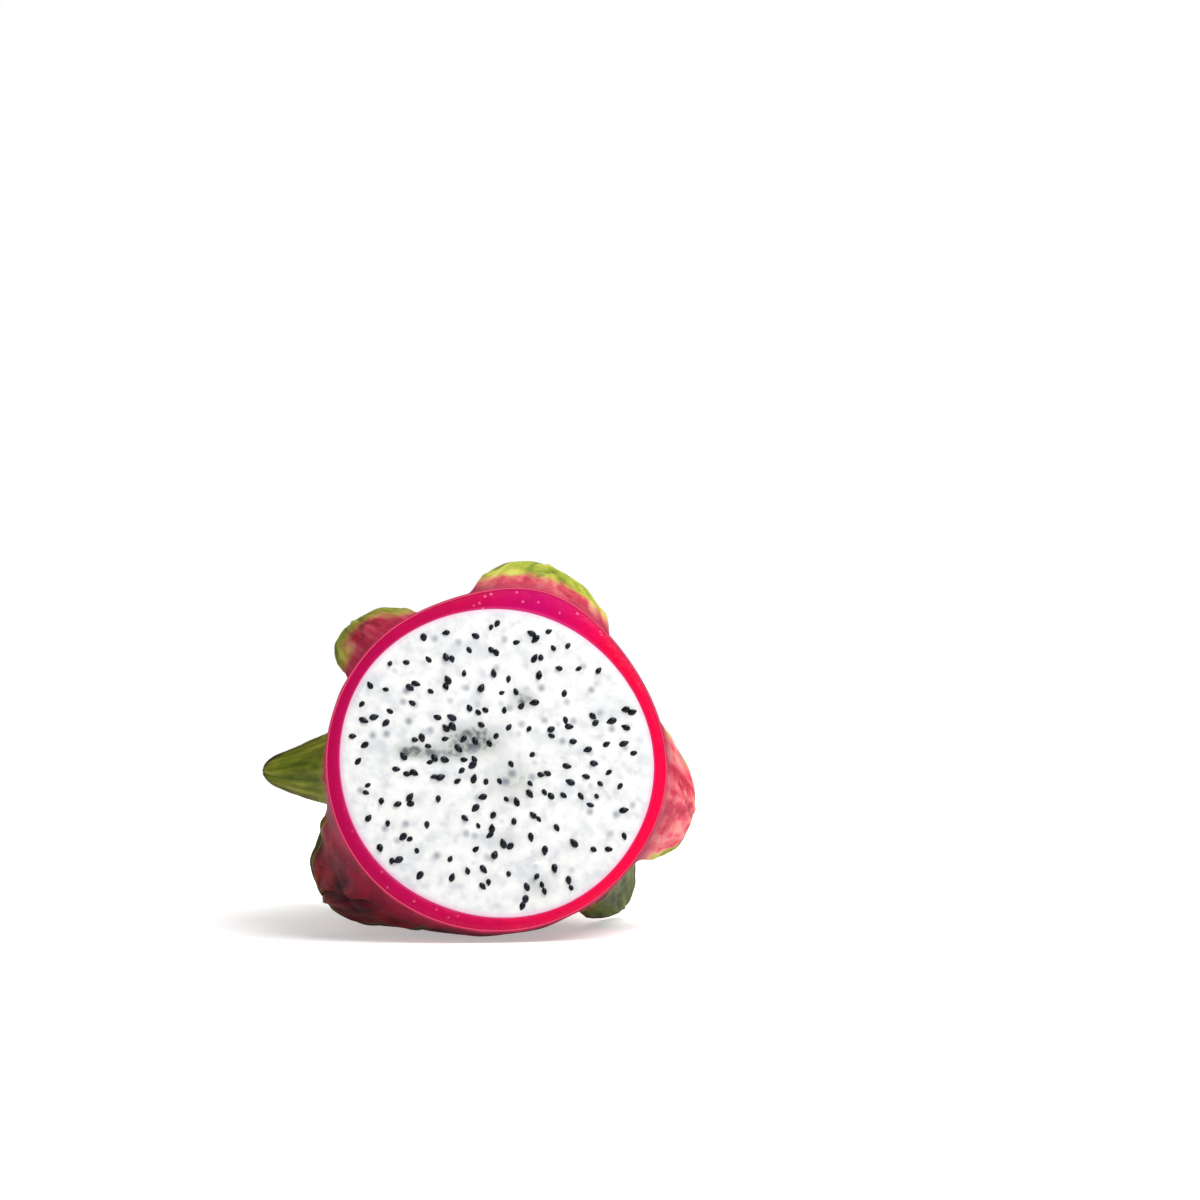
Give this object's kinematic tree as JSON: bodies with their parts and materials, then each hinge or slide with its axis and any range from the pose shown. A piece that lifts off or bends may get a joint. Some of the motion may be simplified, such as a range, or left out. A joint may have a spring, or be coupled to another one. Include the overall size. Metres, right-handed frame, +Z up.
{
  "type": "dragon fruit half",
  "caption": "Half of a white-fleshed dragon fruit, cut across its middle, with leafy bracts on its peel, resting on its curved side with the cut face upright.",
  "frame": {"origin": "on the surface it rests on, under the middle of its bounding box", "axes": "+Z up, -Y towards the side that the cut face looks to, +Y towards the flower end, +X to the right seen from the cut"},
  "size_m": [0.1172, 0.1256, 0.0999],
  "materials": {
    "peel": "satin",
    "rind": "moist",
    "flesh": "moist",
    "seed": "glossy",
    "flower_scar": "dry"
  },
  "bodies": {
    "root": {"dragon_fruit_half": "peel"}
  },
  "joints": []
}
